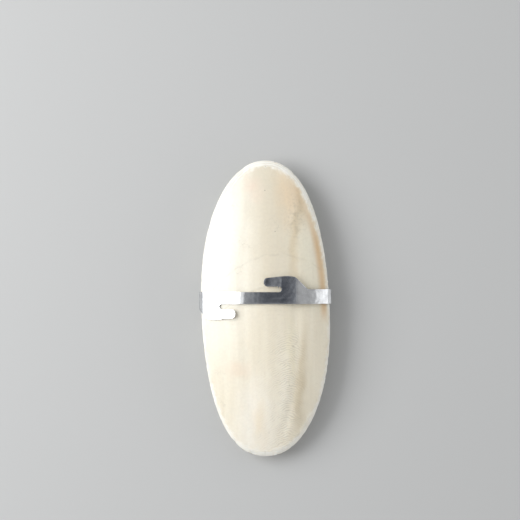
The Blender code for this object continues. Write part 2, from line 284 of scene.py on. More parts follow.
@dataclass(frozen=True)
class ShieldFinish:
    """The hard shield of the back: thin dense aragonite, cream with a low satin sheen.

    The animal laid it down coat by coat from its growing edge, so arched growth lines, fine ripples and
    lengthwise bands show. Drying and bleaching took its shine down to a satin and left uneven stains. The
    broad pale patch over the left half is not a stain: it is painted highlight, the glare of the strong lamp
    on the left.
    """

    shell: str = "#EFE8D5"
    shell_shade: str = "#E4DBC6"
    rust: str = "#D8B88D"
    speck: str = "#8E8475"
    rust_inset_mm: float = 1.3
    rust_half_width_mm: float = 2.6
    # Real ripples are 0.2 to 0.5 mm apart, which is lost at 0.4 mm a pixel, so they are drawn coarser.
    ripple_mm: float = 0.95
    ripple_tint: float = 0.25
    ripple_bump: float = -0.55
    resting_lines_mm: tuple[float, ...] = (22.0, 9.5)
    resting_line_half_width_mm: float = 0.8
    resting_line_tint: float = 0.10
    resting_line_bump: float = 0.8
    scratch_tint: float = 0.16
    scratch_bump: float = -0.5
    mottle_tint: float = 0.07
    speck_tint: float = 0.6
    patch_warp: tuple[float, float, float] = (4.0 * MM, 12.0 * MM, 0.0)
    flecks: TonePatch = TonePatch(12.3, 37.0, 6.0, 14.0, "#8E8475", 0.22)
    stains_and_painted_light: tuple[TonePatch, ...] = (
        # Painted highlight: this broad pale patch over the left half stands in for the glare of the strong
        # lamp on the left.
        TonePatch(-20.0, 30.0, 26.0, 78.0, "#F7F5EC", 0.75),
        TonePatch(4.0, 2.0, 8.0, 75.0, "#E3DBC8", 0.75),
        TonePatch(0.0, 42.0, 11.0, 62.0, "#D9D0BC", 0.65),
        TonePatch(-4.0, -48.0, 14.0, 34.0, "#FCF8EE", 0.75),
        TonePatch(9.5, 45.0, 9.0, 20.0, "#E6D2B4", 0.85, math.radians(14.0)),
        TonePatch(14.2, 43.0, 3.0, 13.0, "#CDB48C", 0.45, math.radians(17.0)),
        TonePatch(13.0, 34.5, 2.6, 14.0, "#C6B494", 0.6, math.radians(-14.0)),
        TonePatch(11.3, 22.0, 2.8, 20.0, "#DBCBAC", 0.65),
        TonePatch(16.5, 20.0, 4.5, 22.0, "#ECE8D4", 0.6, math.radians(8.0)),
        TonePatch(14.3, -31.0, 2.8, 32.0, "#D0C3A8", 0.85, math.radians(-3.0)),
        TonePatch(10.0, -17.0, 3.2, 21.0, "#F0E6C4", 0.4),
        TonePatch(-11.0, -25.0, 7.0, 6.0, "#EBD6C0", 0.45),
        TonePatch(7.4, -34.0, 5.2, 36.0, "#F8F2E2", 0.7),
        TonePatch(-2.4, -47.0, 5.0, 15.0, "#EAD9BA", 0.5),
        TonePatch(-5.0, 49.0, 6.0, 7.5, "#F1DCCB", 0.5),
    )

    def build(self, tree: Tree, place: Feed, inset: Feed) -> tuple[Node, Node]:
        """Colour the shield and give it its fine grain.

        Args:
            tree: The material's node tree.
            place: Object coordinates, in metres.
            inset: Distance in from the edge of the shield, in millimetres.

        Returns:
            The node with the colour, and the node with the bump height.
        """
        lengthwise = add(tree, "ShaderNodeMapping", {"Vector": place, "Scale": (300.0, 24.0, 0.0)})
        bands = add(tree, "ShaderNodeTexNoise", {"Vector": lengthwise, "Scale": 1.0, "Detail": 4.0})
        banded = add(tree, "ShaderNodeMapRange", {"Value": bands, 1: 0.3, 2: 0.7})
        shell = add(
            tree, "ShaderNodeMix",
            {"Factor": banded, "A": linear(self.shell_shade), "B": linear(self.shell)}, data_type="RGBA",
        )
        drift = add(tree, "ShaderNodeTexNoise", {"Vector": place, "Scale": 0.14 / MM, "Detail": 1.5})
        drift = add(
            tree, "ShaderNodeVectorMath", {0: drift.outputs["Color"], 1: (0.5, 0.5, 0.5)},
            operation="SUBTRACT",
        )
        ragged = add(
            tree, "ShaderNodeVectorMath", {0: drift, 1: self.patch_warp, 2: place}, operation="MULTIPLY_ADD",
        )
        for tone_patch in self.stains_and_painted_light:
            shell = tone_patch.over(tree, ragged, shell)
        shell = self.rusted(tree, place, inset, bands, shell)
        return self.lined(tree, place, ragged, shell)

    def rusted(self, tree: Tree, place: Feed, inset: Feed, bands: Feed, under: Feed) -> Node:
        """Lay the rusty stain that runs beside the right edge of the front half.

        Args:
            tree: The material's node tree.
            place: Object coordinates, in metres.
            inset: Distance in from the edge of the shield, in millimetres.
            bands: The noise of the lengthwise bands, which breaks the stain up.
            under: The node with the colour so far.

        Returns:
            The node with the colour.
        """
        spot = add(tree, "ShaderNodeSeparateXYZ", {"Vector": place})
        off = add(tree, "ShaderNodeMath", {0: inset, 1: self.rust_inset_mm}, operation="SUBTRACT")
        off = add(tree, "ShaderNodeMath", {0: off}, operation="ABSOLUTE")
        streak = add(
            tree, "ShaderNodeMapRange", {"Value": off, 1: self.rust_half_width_mm, 2: 0.0},
            interpolation_type="SMOOTHSTEP",
        )
        right = add(tree, "ShaderNodeMapRange", {"Value": spot.outputs["X"], 1: 8.0 * MM, 2: 16.0 * MM})
        rear = add(
            tree, "ShaderNodeMapRange", {"Value": spot.outputs["Y"], 1: -7.0 * MM, 2: 2.0 * MM},
            interpolation_type="SMOOTHSTEP",
        )
        front = add(
            tree, "ShaderNodeMapRange", {"Value": spot.outputs["Y"], 1: 42.0 * MM, 2: 24.0 * MM, 3: 0.25},
            interpolation_type="SMOOTHSTEP",
        )
        blotch = add(tree, "ShaderNodeMapRange", {"Value": bands, 1: 0.2, 2: 0.6, 3: 0.6})
        for part in (right, rear, front, blotch):
            streak = add(tree, "ShaderNodeMath", {0: streak, 1: part}, operation="MULTIPLY")
        return add(
            tree, "ShaderNodeMix", {"Factor": streak, "A": under, "B": linear(self.rust)}, data_type="RGBA",
        )

    def lined(self, tree: Tree, place: Feed, ragged: Feed, under: Feed) -> tuple[Node, Node]:
        """Draw the fine lines: ripples, resting lines, worm-like scratches and specks.

        Args:
            tree: The material's node tree.
            place: Object coordinates, in metres.
            ragged: The same, warped as the tone patches are.
            under: The node with the colour so far.

        Returns:
            The node with the colour, and the node with the bump height.
        """
        growth = add(tree, "ShaderNodeAttribute", attribute_name="growth_mm").outputs["Fac"]
        arch = add(tree, "ShaderNodeAttribute", attribute_name="ripple_mm").outputs["Fac"]
        rippled = add(tree, "ShaderNodeAttribute", attribute_name="rippled").outputs["Fac"]
        wobble = add(tree, "ShaderNodeTexNoise", {"Vector": place, "Scale": 0.35 / MM, "Detail": 2.0})
        turns = add(
            tree, "ShaderNodeMath", {0: arch, 1: 1.0 / self.ripple_mm, 2: wobble}, operation="MULTIPLY_ADD",
        )
        turns = add(tree, "ShaderNodeMath", {0: wobble, 1: 1.6, 2: turns}, operation="MULTIPLY_ADD")
        angle = add(tree, "ShaderNodeMath", {0: turns, 1: math.tau}, operation="MULTIPLY")
        ripple = add(tree, "ShaderNodeMath", {0: angle}, operation="SINE")
        broken = add(tree, "ShaderNodeTexNoise", {"Vector": place, "Scale": 0.3 / MM, "Detail": 3.0})
        patchy = add(tree, "ShaderNodeMapRange", {"Value": broken, 1: 0.36, 2: 0.54})
        ripple = add(tree, "ShaderNodeMath", {0: ripple, 1: patchy}, operation="MULTIPLY")
        ripple = add(tree, "ShaderNodeMath", {0: ripple, 1: rippled}, operation="MULTIPLY")
        mottle = add(tree, "ShaderNodeTexNoise", {"Vector": place, "Scale": 0.9 / MM, "Detail": 3.0})
        dark = add(tree, "ShaderNodeMapRange", {"Value": mottle, 1: 0.35, 2: 0.75, 4: self.mottle_tint})
        fleck = add(tree, "ShaderNodeMapRange", {"Value": mottle, 1: 0.46, 2: 0.68})
        flecked = self.flecks.share(tree, ragged)
        wander = add(tree, "ShaderNodeMath", {0: wobble, 1: 2.4, 2: growth}, operation="MULTIPLY_ADD")
        ridge = 0.0
        for line in self.resting_lines_mm:
            off = add(tree, "ShaderNodeMath", {0: wander, 1: line + 1.2}, operation="SUBTRACT")
            off = add(tree, "ShaderNodeMath", {0: off}, operation="ABSOLUTE")
            mark = add(
                tree, "ShaderNodeMapRange", {"Value": off, 1: self.resting_line_half_width_mm, 2: 0.0},
                interpolation_type="SMOOTHSTEP",
            )
            ridge = add(tree, "ShaderNodeMath", {0: ridge, 1: mark}, operation="ADD")
        ridge = add(tree, "ShaderNodeMath", {0: ridge, 1: patchy}, operation="MULTIPLY")
        scratch = add(tree, "ShaderNodeTexNoise", {"Vector": place, "Scale": 0.42 / MM, "Detail": 1.0})
        scratch = add(tree, "ShaderNodeMath", {0: scratch, 1: 0.5}, operation="SUBTRACT")
        scratch = add(tree, "ShaderNodeMath", {0: scratch}, operation="ABSOLUTE")
        scratch = add(tree, "ShaderNodeMapRange", {"Value": scratch, 1: 0.016, 2: 0.004})
        few = add(tree, "ShaderNodeTexNoise", {"Vector": place, "Scale": 0.13 / MM, "Detail": 1.0})
        few = add(tree, "ShaderNodeMapRange", {"Value": few, 1: 0.60, 2: 0.66})
        scratch = add(tree, "ShaderNodeMath", {0: scratch, 1: few}, operation="MULTIPLY")
        for mark, tint in (
            (fleck, flecked), (ripple, self.ripple_tint), (ridge, self.resting_line_tint),
            (scratch, self.scratch_tint),
        ):
            dark = add(tree, "ShaderNodeMath", {0: mark, 1: tint, 2: dark}, operation="MULTIPLY_ADD")
        cells = add(tree, "ShaderNodeTexVoronoi", {"Vector": place, "Scale": 0.085 / MM})
        dot = add(tree, "ShaderNodeMapRange", {"Value": cells, 1: 0.026, 2: 0.014, 4: self.speck_tint})
        dark = add(tree, "ShaderNodeMath", {0: dark, 1: dot}, operation="ADD", use_clamp=True)
        colour = add(
            tree, "ShaderNodeMix", {"Factor": dark, "A": under, "B": linear(self.speck)}, data_type="RGBA",
        )
        grain = add(tree, "ShaderNodeTexNoise", {"Vector": place, "Scale": 2.4 / MM, "Detail": 3.0})
        height = grain
        for mark, bump in (
            (ripple, self.ripple_bump), (ridge, self.resting_line_bump), (scratch, self.scratch_bump),
        ):
            height = add(tree, "ShaderNodeMath", {0: mark, 1: bump, 2: height}, operation="MULTIPLY_ADD")
        return colour, height


@dataclass(frozen=True)
class ChalkFinish:
    """The chalk below the shield: soft white aragonite in thin layers, dry and powdery.

    It grew as thin floors stacked on each other. Grinding the rim cut across them, so their edges show as
    fine lines, and the dust it left takes all sheen away.
    """

    chalk: str = "#F8F6EE"
    chalk_shade: str = "#DED8C8"
    callus: str = "#E4D2AC"
    # Real layers and stripes are 0.2 to 0.5 mm apart. They are drawn coarser, to show at 0.4 mm a pixel.
    lamella_mm: float = 0.5
    stripe_mm: float = 0.85
    layer_tilt: float = 0.12
    line_tint: float = 0.22
    line_bump: float = -0.35

    def build(self, tree: Tree, place: Feed) -> tuple[Node, Node]:
        """Colour the chalk: thin layers on the ground rim and flanks, fine stripes on the belly.

        Args:
            tree: The material's node tree.
            place: Object coordinates, in metres.

        Returns:
            The node with the colour, and the node with the bump height.
        """
        spot = add(tree, "ShaderNodeSeparateXYZ", {"Vector": place})
        growth = add(tree, "ShaderNodeAttribute", attribute_name="growth_mm").outputs["Fac"]
        belly = add(tree, "ShaderNodeAttribute", attribute_name="belly").outputs["Fac"]
        striped = add(tree, "ShaderNodeAttribute", attribute_name="striped").outputs["Fac"]
        layer = add(
            tree, "ShaderNodeMath", {0: spot.outputs["Y"], 1: self.layer_tilt, 2: spot.outputs["Z"]},
            operation="MULTIPLY_ADD",
        )
        layer = add(tree, "ShaderNodeMath", {0: layer, 1: 1.0 / (self.lamella_mm * MM)}, operation="MULTIPLY")
        stripe = add(tree, "ShaderNodeMath", {0: growth, 1: 1.0 / self.stripe_mm}, operation="MULTIPLY")
        wobble = add(tree, "ShaderNodeTexNoise", {"Vector": place, "Scale": 0.16 / MM, "Detail": 2.0})
        turns = add(tree, "ShaderNodeMix", {"Factor": belly, "A": layer, "B": stripe})
        turns = add(tree, "ShaderNodeMath", {0: turns, 1: wobble}, operation="ADD")
        angle = add(tree, "ShaderNodeMath", {0: turns, 1: math.tau}, operation="MULTIPLY")
        lines = add(tree, "ShaderNodeMath", {0: angle}, operation="SINE")
        shown = add(tree, "ShaderNodeMath", {0: 1.0, 1: belly}, operation="SUBTRACT")
        shown = add(tree, "ShaderNodeMath", {0: shown, 1: striped}, operation="ADD", use_clamp=True)
        lines = add(tree, "ShaderNodeMath", {0: lines, 1: shown}, operation="MULTIPLY")
        patches = add(tree, "ShaderNodeTexNoise", {"Vector": place, "Scale": 0.12 / MM, "Detail": 4.0})
        dark = add(
            tree, "ShaderNodeMath", {0: lines, 1: self.line_tint, 2: patches}, operation="MULTIPLY_ADD",
        )
        dark = add(tree, "ShaderNodeMapRange", {"Value": dark, 1: 0.45, 2: 0.95})
        colour = add(
            tree, "ShaderNodeMix",
            {"Factor": dark, "A": linear(self.chalk), "B": linear(self.chalk_shade)}, data_type="RGBA",
        )
        rear = add(tree, "ShaderNodeMapRange", {"Value": spot.outputs["Y"], 1: -40.0 * MM, 2: -54.0 * MM})
        for part in (belly, patches):
            rear = add(tree, "ShaderNodeMath", {0: rear, 1: part}, operation="MULTIPLY")
        colour = add(
            tree, "ShaderNodeMix", {"Factor": rear, "A": colour, "B": linear(self.callus)}, data_type="RGBA",
        )
        powder = add(tree, "ShaderNodeTexNoise", {"Vector": place, "Scale": 3.2 / MM, "Detail": 4.0})
        height = add(
            tree, "ShaderNodeMath", {0: lines, 1: self.line_bump, 2: powder}, operation="MULTIPLY_ADD",
        )
        return colour, height


@dataclass(frozen=True)
class BoneFinish:
    """Aragonite laid down by the animal: the hard shield, ground away to soft chalk at its rim."""

    shield: ShieldFinish = ShieldFinish()
    chalk: ChalkFinish = ChalkFinish()
    chalk_roughness: float = 0.88
    shield_roughness: float = 0.44
    aragonite_ior: float = 1.53

    def build(self) -> bpy.types.Material:
        """Build the material for the whole bone."""
        material = bpy.data.materials.new("aragonite")
        material.use_nodes = True
        tree = material.node_tree
        shader = tree.nodes["Principled BSDF"]
        place = add(tree, "ShaderNodeTexCoord").outputs["Object"]
        inset = add(tree, "ShaderNodeAttribute", attribute_name="inset_mm").outputs["Fac"]
        hard = self.hard_share(tree, place, inset)
        back, back_height = self.shield.build(tree, place, inset)
        soft, soft_height = self.chalk.build(tree, place)
        colour = add(tree, "ShaderNodeMix", {"Factor": hard, "A": soft, "B": back}, data_type="RGBA")
        height = add(tree, "ShaderNodeMix", {"Factor": hard, "A": soft_height, "B": back_height})
        gloss = add(
            tree, "ShaderNodeMapRange", {"Value": hard, 3: self.chalk_roughness, 4: self.shield_roughness},
        )
        grain = add(tree, "ShaderNodeBump", {"Height": height, "Distance": 0.06 * MM, "Strength": 0.8})
        tree.links.new(next(s for s in colour.outputs if s.enabled), shader.inputs["Base Color"])
        tree.links.new(gloss.outputs[0], shader.inputs["Roughness"])
        tree.links.new(grain.outputs[0], shader.inputs["Normal"])
        shader.inputs["IOR"].default_value = self.aragonite_ior
        shader.inputs["Subsurface Weight"].default_value = 0.12
        shader.inputs["Subsurface Radius"].default_value = (1.2, 1.0, 0.8)
        shader.inputs["Subsurface Scale"].default_value = 0.8 * MM
        return material

    def hard_share(self, tree: Tree, place: Feed, inset: Feed) -> Node:
        """Tell the shield from the chalk, along a ragged line where grinding has worn it off.

        Args:
            tree: The material's node tree.
            place: Object coordinates, in metres.
            inset: Distance in from the edge of the shield, in millimetres.

        Returns:
            The node with the share of the shield, from 0 on the chalk to 1.
        """
        fine = add(tree, "ShaderNodeTexNoise", {"Vector": place, "Scale": 0.5 / MM, "Detail": 5.0})
        broad = add(tree, "ShaderNodeTexNoise", {"Vector": place, "Scale": 0.09 / MM, "Detail": 2.0})
        worn = add(tree, "ShaderNodeMath", {0: fine, 1: -4.0, 2: inset}, operation="MULTIPLY_ADD")
        worn = add(tree, "ShaderNodeMath", {0: broad, 1: -3.0, 2: worn}, operation="MULTIPLY_ADD")
        spot = add(tree, "ShaderNodeSeparateXYZ", {"Vector": place})
        from_middle = add(tree, "ShaderNodeMath", {0: spot.outputs["Y"]}, operation="ABSOLUTE")
        kept = add(tree, "ShaderNodeMapRange", {"Value": from_middle, 1: 50.0 * MM, 2: 15.0 * MM, 4: 0.9})
        worn = add(tree, "ShaderNodeMath", {0: worn, 1: kept}, operation="ADD")
        return add(
            tree, "ShaderNodeMapRange", {"Value": worn, 1: -4.7, 2: -2.2}, interpolation_type="SMOOTHSTEP",
        )


@dataclass
class Cuttlebone:
    """The bone: a fine grid drawn over the grown form, with growth lines and wear carved in."""

    form: BoneForm = field(default_factory=BoneForm)
    finish: BoneFinish = field(default_factory=BoneFinish)
    half_rows: int = 320
    closing_rows: int = 9
    closing_share: float = 0.45
    back_columns: int = 44
    bevel_columns: int = 4
    flank_columns: int = 26
    belly_columns: int = 48
    flank_turn: float = math.radians(27.0)
    end_crowding: float = 1.4
    back_arch: float = 0.020
    back_apex_mm: float = 5.0
    ripple_apex_mm: float = 9.3
    ripple_slope: float = 0.65
    ripple_apex_round_mm: float = 1.5
    ripple_half_width_mm: float = 8.5
    ripple_start_mm: tuple[float, float] = (4.0, 14.0)
    belly_start: tuple[float, float] = (0.40, 0.62)
    belly_arch: float = 0.016
    belly_point_mm: float = 2.2
    belly_point_half_width_mm: float = 3.6
    loculus_mm: float = 14.0
    loculus_blend_mm: float = 0.8
    calm_end_mm: tuple[float, float] = (1.8, 6.0)

    def build(self) -> bpy.types.Object:
        """Build, carve and dress the bone.

        Returns:
            The finished piece.
        """
        mesh = self.grid_mesh()
        bone = bpy.data.objects.new("bone_body", mesh)
        bpy.context.scene.collection.objects.link(bone)
        material = self.finish.build()
        self.carve(bone, material)
        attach(bone, "root")
        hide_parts("cuttlebone")
        return bone

    def calm(self, places: np.ndarray) -> np.ndarray:
        """Keep the carving away from the two end points, where the rows close up."""
        to_end = np.hypot(places[:, 0], 0.5 * self.form.length - np.abs(places[:, 1]))
        return self.form.ramp(to_end / MM, *self.calm_end_mm)

    def rows_along(self) -> np.ndarray:
        """Give the rows between the two end points, crowded more and more towards both ends."""
        even = np.linspace(0.0, 1.0, self.half_rows, endpoint=False)
        left = (1.0 - even) ** self.end_crowding
        closing = left[-1] * self.closing_share ** np.arange(1, self.closing_rows + 1)
        front = 1.0 - np.concatenate([left, closing])
        return np.concatenate([-front[:0:-1], front])

    def ring(self, along: np.ndarray) -> tuple[np.ndarray, np.ndarray]:
        """Lay the points of every row round the section.

        Args:
            along: The rows' shares of the half length.

        Returns:
            The points by row and column, and 0 to 1 for the belly.
        """
        rows = along[:, None]
        across = np.linspace(1.0, -1.0, self.back_columns + 1)[None, :]
        back = self.form.back(rows, across)
        flank = np.linspace(0.0, self.flank_turn, self.flank_columns, endpoint=False)
        under = np.linspace(self.flank_turn, math.pi - self.flank_turn, self.belly_columns)
        turn = np.concatenate([math.pi - flank, under[::-1], flank[::-1]])[None, :]
        belly = self.form.belly(rows, turn)
        share = (np.arange(1, self.bevel_columns) / self.bevel_columns)[None, :, None]
        bulge = self.form.bevel_bulge * np.sin(math.pi * share) * np.array([0.0, 0.0, 1.0])
        left = back[:, -1:] * (1.0 - share) + belly[:, :1] * share + bulge
        right = belly[:, -1:] * (1.0 - share) + back[:, :1] * share + bulge
        points = np.concatenate([back, left, belly, right], axis=1)
        under_share = np.zeros(points.shape[:2])
        first = back.shape[1] + left.shape[1]
        under_share[:, first:first + belly.shape[1]] = self.form.ramp(np.sin(turn), *self.belly_start)
        return points, under_share

    def grid_mesh(self) -> bpy.types.Mesh:
        """Make the closed grid, with the fields that carving and colouring follow."""
        along = self.rows_along()
        points, under = self.ring(along)
        count, columns = points.shape[:2]
        tips = self.form.belly(np.array([-1.0, 1.0]), np.zeros(2))
        places = np.vstack([points.reshape(-1, 3), tips])
        index = np.arange(count * columns).reshape(count, columns)
        after = np.roll(index, -1, axis=1)
        quads = np.stack([index[:-1], index[1:], after[1:], after[:-1]], axis=-1).reshape(-1, 4)
        rear = [(count * columns, int(index[0, c]), int(after[0, c])) for c in range(columns)]
        front = [(count * columns + 1, int(after[-1, c]), int(index[-1, c])) for c in range(columns)]
        mesh = bpy.data.meshes.new("bone_body")
        mesh.from_pydata(places.tolist(), [], quads.tolist() + rear + front)
        mesh.validate()
        belly = np.concatenate([under.ravel(), [0.0, 0.0]])
        hard = np.zeros((count, columns), bool)
        hard[:, :self.back_columns + 1] = True
        hard = np.concatenate([hard.ravel(), [False, False]])
        self.store(mesh, "carved", self.calm(places))
        self.store(mesh, "belly", belly)
        self.store(mesh, "inset_mm", self.inset(places, hard))
        self.store(mesh, "growth_mm", self.growth(places, belly))
        beside = places[:, 0] / MM - self.ripple_apex_mm
        arch = self.ripple_slope * np.hypot(beside, self.ripple_apex_round_mm)
        self.store(mesh, "ripple_mm", places[:, 1] / MM + arch)
        reach = self.form.ramp(-places[:, 1] / MM, *self.ripple_start_mm)
        self.store(mesh, "rippled", reach * self.form.bump(beside, self.ripple_half_width_mm))
        self.store(mesh, "striped", belly * self.striped(places))
        mesh.shade_smooth()
        return mesh

    @staticmethod
    def store(mesh: bpy.types.Mesh, name: str, values: np.ndarray) -> None:
        """Keep one number for each point of the mesh."""
        mesh.attributes.new(name, "FLOAT", "POINT").data.foreach_set("value", values.astype(np.float32))

    def inset(self, places: np.ndarray, hard: np.ndarray) -> np.ndarray:
        """Measure how far each point lies in from the edge of the hard back.

        Args:
            places: All points of the mesh.
            hard: True for the points of the hard back.

        Returns:
            Distances in millimetres, negative outside the hard back.
        """
        along = np.linspace(-1.0, 1.0, 361)
        edge = np.vstack([self.form.back(along, np.full(along.shape, side.value)) for side in Side])
        tree = kdtree.KDTree(len(edge))
        for index, point in enumerate(edge):
            tree.insert(point, index)
        tree.balance()
        distance = np.array([tree.find(place)[2] for place in places]) / MM
        return np.where(hard, distance, -distance)

    def growth(self, places: np.ndarray, belly: np.ndarray) -> np.ndarray:
        """Give the place of each point along the growth, on lines arched towards the front."""
        x, y = places[:, 0] / MM, places[:, 1] / MM
        back = y + self.back_arch * (x - self.back_apex_mm) ** 2
        point = self.belly_point_mm * self.form.bump(x, self.belly_point_half_width_mm)
        under = y + self.belly_arch * x ** 2 + point
        return np.where(belly > 0.0, under, back)

    def striped(self, places: np.ndarray) -> np.ndarray:
        """Mark the striped zone of the belly, behind the smooth last chamber."""
        under = self.growth(places, np.ones(len(places)))
        blend = self.loculus_blend_mm
        return 1.0 - self.form.ramp(under, self.loculus_mm - blend, self.loculus_mm + blend)

    def carve(self, bone: bpy.types.Object, material: bpy.types.Material) -> None:
        """Carve the growth lines, layers and wear into the mesh, and leave a plain mesh.

        Args:
            bone: The piece with the plain grid.
            material: The finish that every face takes.
        """
        tree = bpy.data.node_groups.new("bone_relief", "GeometryNodeTree")
        sizes = {
            "Terrace depth": 0.09 * MM, "Band depth": 0.10 * MM, "Lamella depth": 0.035 * MM,
            "Chip depth": 0.30 * MM, "Stripe depth": 0.13 * MM, "Seed": 4.0,
            "Stripe spacing": self.finish.chalk.stripe_mm,
            "Lamella spacing": self.finish.chalk.lamella_mm * MM,
        }
        tree.interface.new_socket("Geometry", in_out="INPUT", socket_type="NodeSocketGeometry")
        for name in sizes:
            tree.interface.new_socket(name, in_out="INPUT", socket_type="NodeSocketFloat")
        tree.interface.new_socket("Geometry", in_out="OUTPUT", socket_type="NodeSocketGeometry")
        source = add(tree, "NodeGroupInput")
        depth = self.relief(tree, source.outputs)
        normal = add(tree, "GeometryNodeInputNormal")
        offset = add(tree, "ShaderNodeVectorMath", {0: normal, "Scale": depth}, operation="SCALE")
        plain = source.outputs["Geometry"]
        moved = add(tree, "GeometryNodeSetPosition", {"Geometry": plain, "Offset": offset})
        real = add(tree, "GeometryNodeRealizeInstances", {"Geometry": moved})
        dressed = add(tree, "GeometryNodeSetMaterial", {"Geometry": real, "Material": material})
        add(tree, "NodeGroupOutput", {"Geometry": dressed})
        modifier = bone.modifiers.new("relief", "NODES")
        modifier.node_group = tree
        for item in tree.interface.items_tree:
            if item.name in sizes:
                modifier[item.identifier] = sizes[item.name]
        settle(bone)

    def relief(self, tree: Tree, sizes: bpy.types.NodeOutputs) -> Node:
        """Sum up how far each point moves along its normal; all of it goes inwards.

        Args:
            tree: The node tree of the relief.
            sizes: The tree's named inputs.

        Returns:
            The node whose output is the move, in metres.
        """
        place = add(tree, "GeometryNodeInputPosition")
        spot = add(tree, "ShaderNodeSeparateXYZ", {"Vector": place})
        fields = {
            name: add(tree, "GeometryNodeInputNamedAttribute", {"Name": name}, data_type="FLOAT")
            for name in ("belly", "carved", "inset_mm", "growth_mm", "striped")
        }
        hard = add(
            tree, "ShaderNodeMapRange", {"Value": fields["inset_mm"], 1: 0.1, 2: 1.6},
            interpolation_type="SMOOTHSTEP",
        )
        ground = add(tree, "ShaderNodeMapRange", {"Value": fields["inset_mm"], 1: 0.9, 2: -0.1})
        rim = add(
            tree, "ShaderNodeMath", {0: ground, 1: fields["belly"]}, operation="SUBTRACT", use_clamp=True,
        )
        terrace = add(
            tree, "ShaderNodeTexNoise",
            {"W": add(tree, "ShaderNodeMath", {0: fields["growth_mm"], 1: sizes["Seed"]}, operation="ADD"),
             "Scale": 0.30, "Detail": 3.0, "Roughness": 0.6},
            noise_dimensions="1D",
        )
        band_place = add(
            tree, "ShaderNodeVectorMath", {0: place, 1: (230.0, 11.0, 0.0)}, operation="MULTIPLY",
        )
        band = add(tree, "ShaderNodeTexNoise", {"Vector": band_place, "Scale": 1.0, "Detail": 2.0})
        wobble = add(tree, "ShaderNodeTexNoise", {"Vector": place, "Scale": 0.16 / MM, "Detail": 2.0})
        layer = add(
            tree, "ShaderNodeMath",
            {0: spot.outputs["Y"], 1: self.finish.chalk.layer_tilt, 2: spot.outputs["Z"]},
            operation="MULTIPLY_ADD",
        )
        slight = add(tree, "ShaderNodeMath", {0: wobble, 1: 0.4}, operation="MULTIPLY")
        lamella = self.wave(tree, layer, sizes["Lamella spacing"], slight)
        uneven = add(tree, "ShaderNodeTexNoise", {"Vector": place, "Scale": 0.2 / MM, "Detail": 2.0})
        uneven = add(tree, "ShaderNodeMapRange", {"Value": uneven, 1: 0.35, 2: 0.65, 3: 0.1})
        lamella = add(tree, "ShaderNodeMath", {0: lamella, 1: uneven}, operation="MULTIPLY")
        stripe = self.wave(tree, fields["growth_mm"], sizes["Stripe spacing"], wobble)
        chip_noise = add(tree, "ShaderNodeTexNoise", {"Vector": place, "Scale": 0.38 / MM, "Detail": 4.0})
        chip = add(tree, "ShaderNodeMapRange", {"Value": chip_noise, 1: 0.52, 2: 0.80})
        total = 0.0
        for share, mask, size in (
            (terrace, hard, "Terrace depth"),
            (band, hard, "Band depth"),
            (lamella, rim, "Lamella depth"),
            (chip, rim, "Chip depth"),
            (stripe, fields["striped"], "Stripe depth"),
        ):
            part = add(tree, "ShaderNodeMath", {0: share, 1: mask}, operation="MULTIPLY")
            part = add(tree, "ShaderNodeMath", {0: part, 1: sizes[size]}, operation="MULTIPLY")
            total = add(tree, "ShaderNodeMath", {0: total, 1: part}, operation="SUBTRACT")
        return add(tree, "ShaderNodeMath", {0: total, 1: fields["carved"]}, operation="MULTIPLY")

    @staticmethod
    def wave(tree: Tree, along: Feed, spacing: Feed, wobble: Feed) -> Node:
        """Make a wave from 0 to 1 with a given spacing, bent a little by a noise.

        Args:
            tree: The node tree of the relief.
            along: The place along the wave.
            spacing: The distance from one crest to the next, in the unit of along.
            wobble: The noise, in turns of the wave.

        Returns:
            The node with the wave.
        """
        turns = add(tree, "ShaderNodeMath", {0: along, 1: spacing}, operation="DIVIDE")
        turns = add(tree, "ShaderNodeMath", {0: turns, 1: wobble}, operation="ADD")
        angle = add(tree, "ShaderNodeMath", {0: turns, 1: math.tau}, operation="MULTIPLY")
        sine = add(tree, "ShaderNodeMath", {0: angle}, operation="SINE")
        return add(tree, "ShaderNodeMapRange", {"Value": sine, 1: -1.0, 2: 1.0})


def settle(piece: bpy.types.Object) -> None:
    """Turn the piece's live modifiers into plain mesh and take them off."""
    graph = bpy.context.evaluated_depsgraph_get()
    plain = bpy.data.meshes.new_from_object(piece.evaluated_get(graph), depsgraph=graph)
    old = piece.data
    piece.modifiers.clear()
    piece.data = plain
    plain.name = piece.name
    bpy.data.meshes.remove(old)


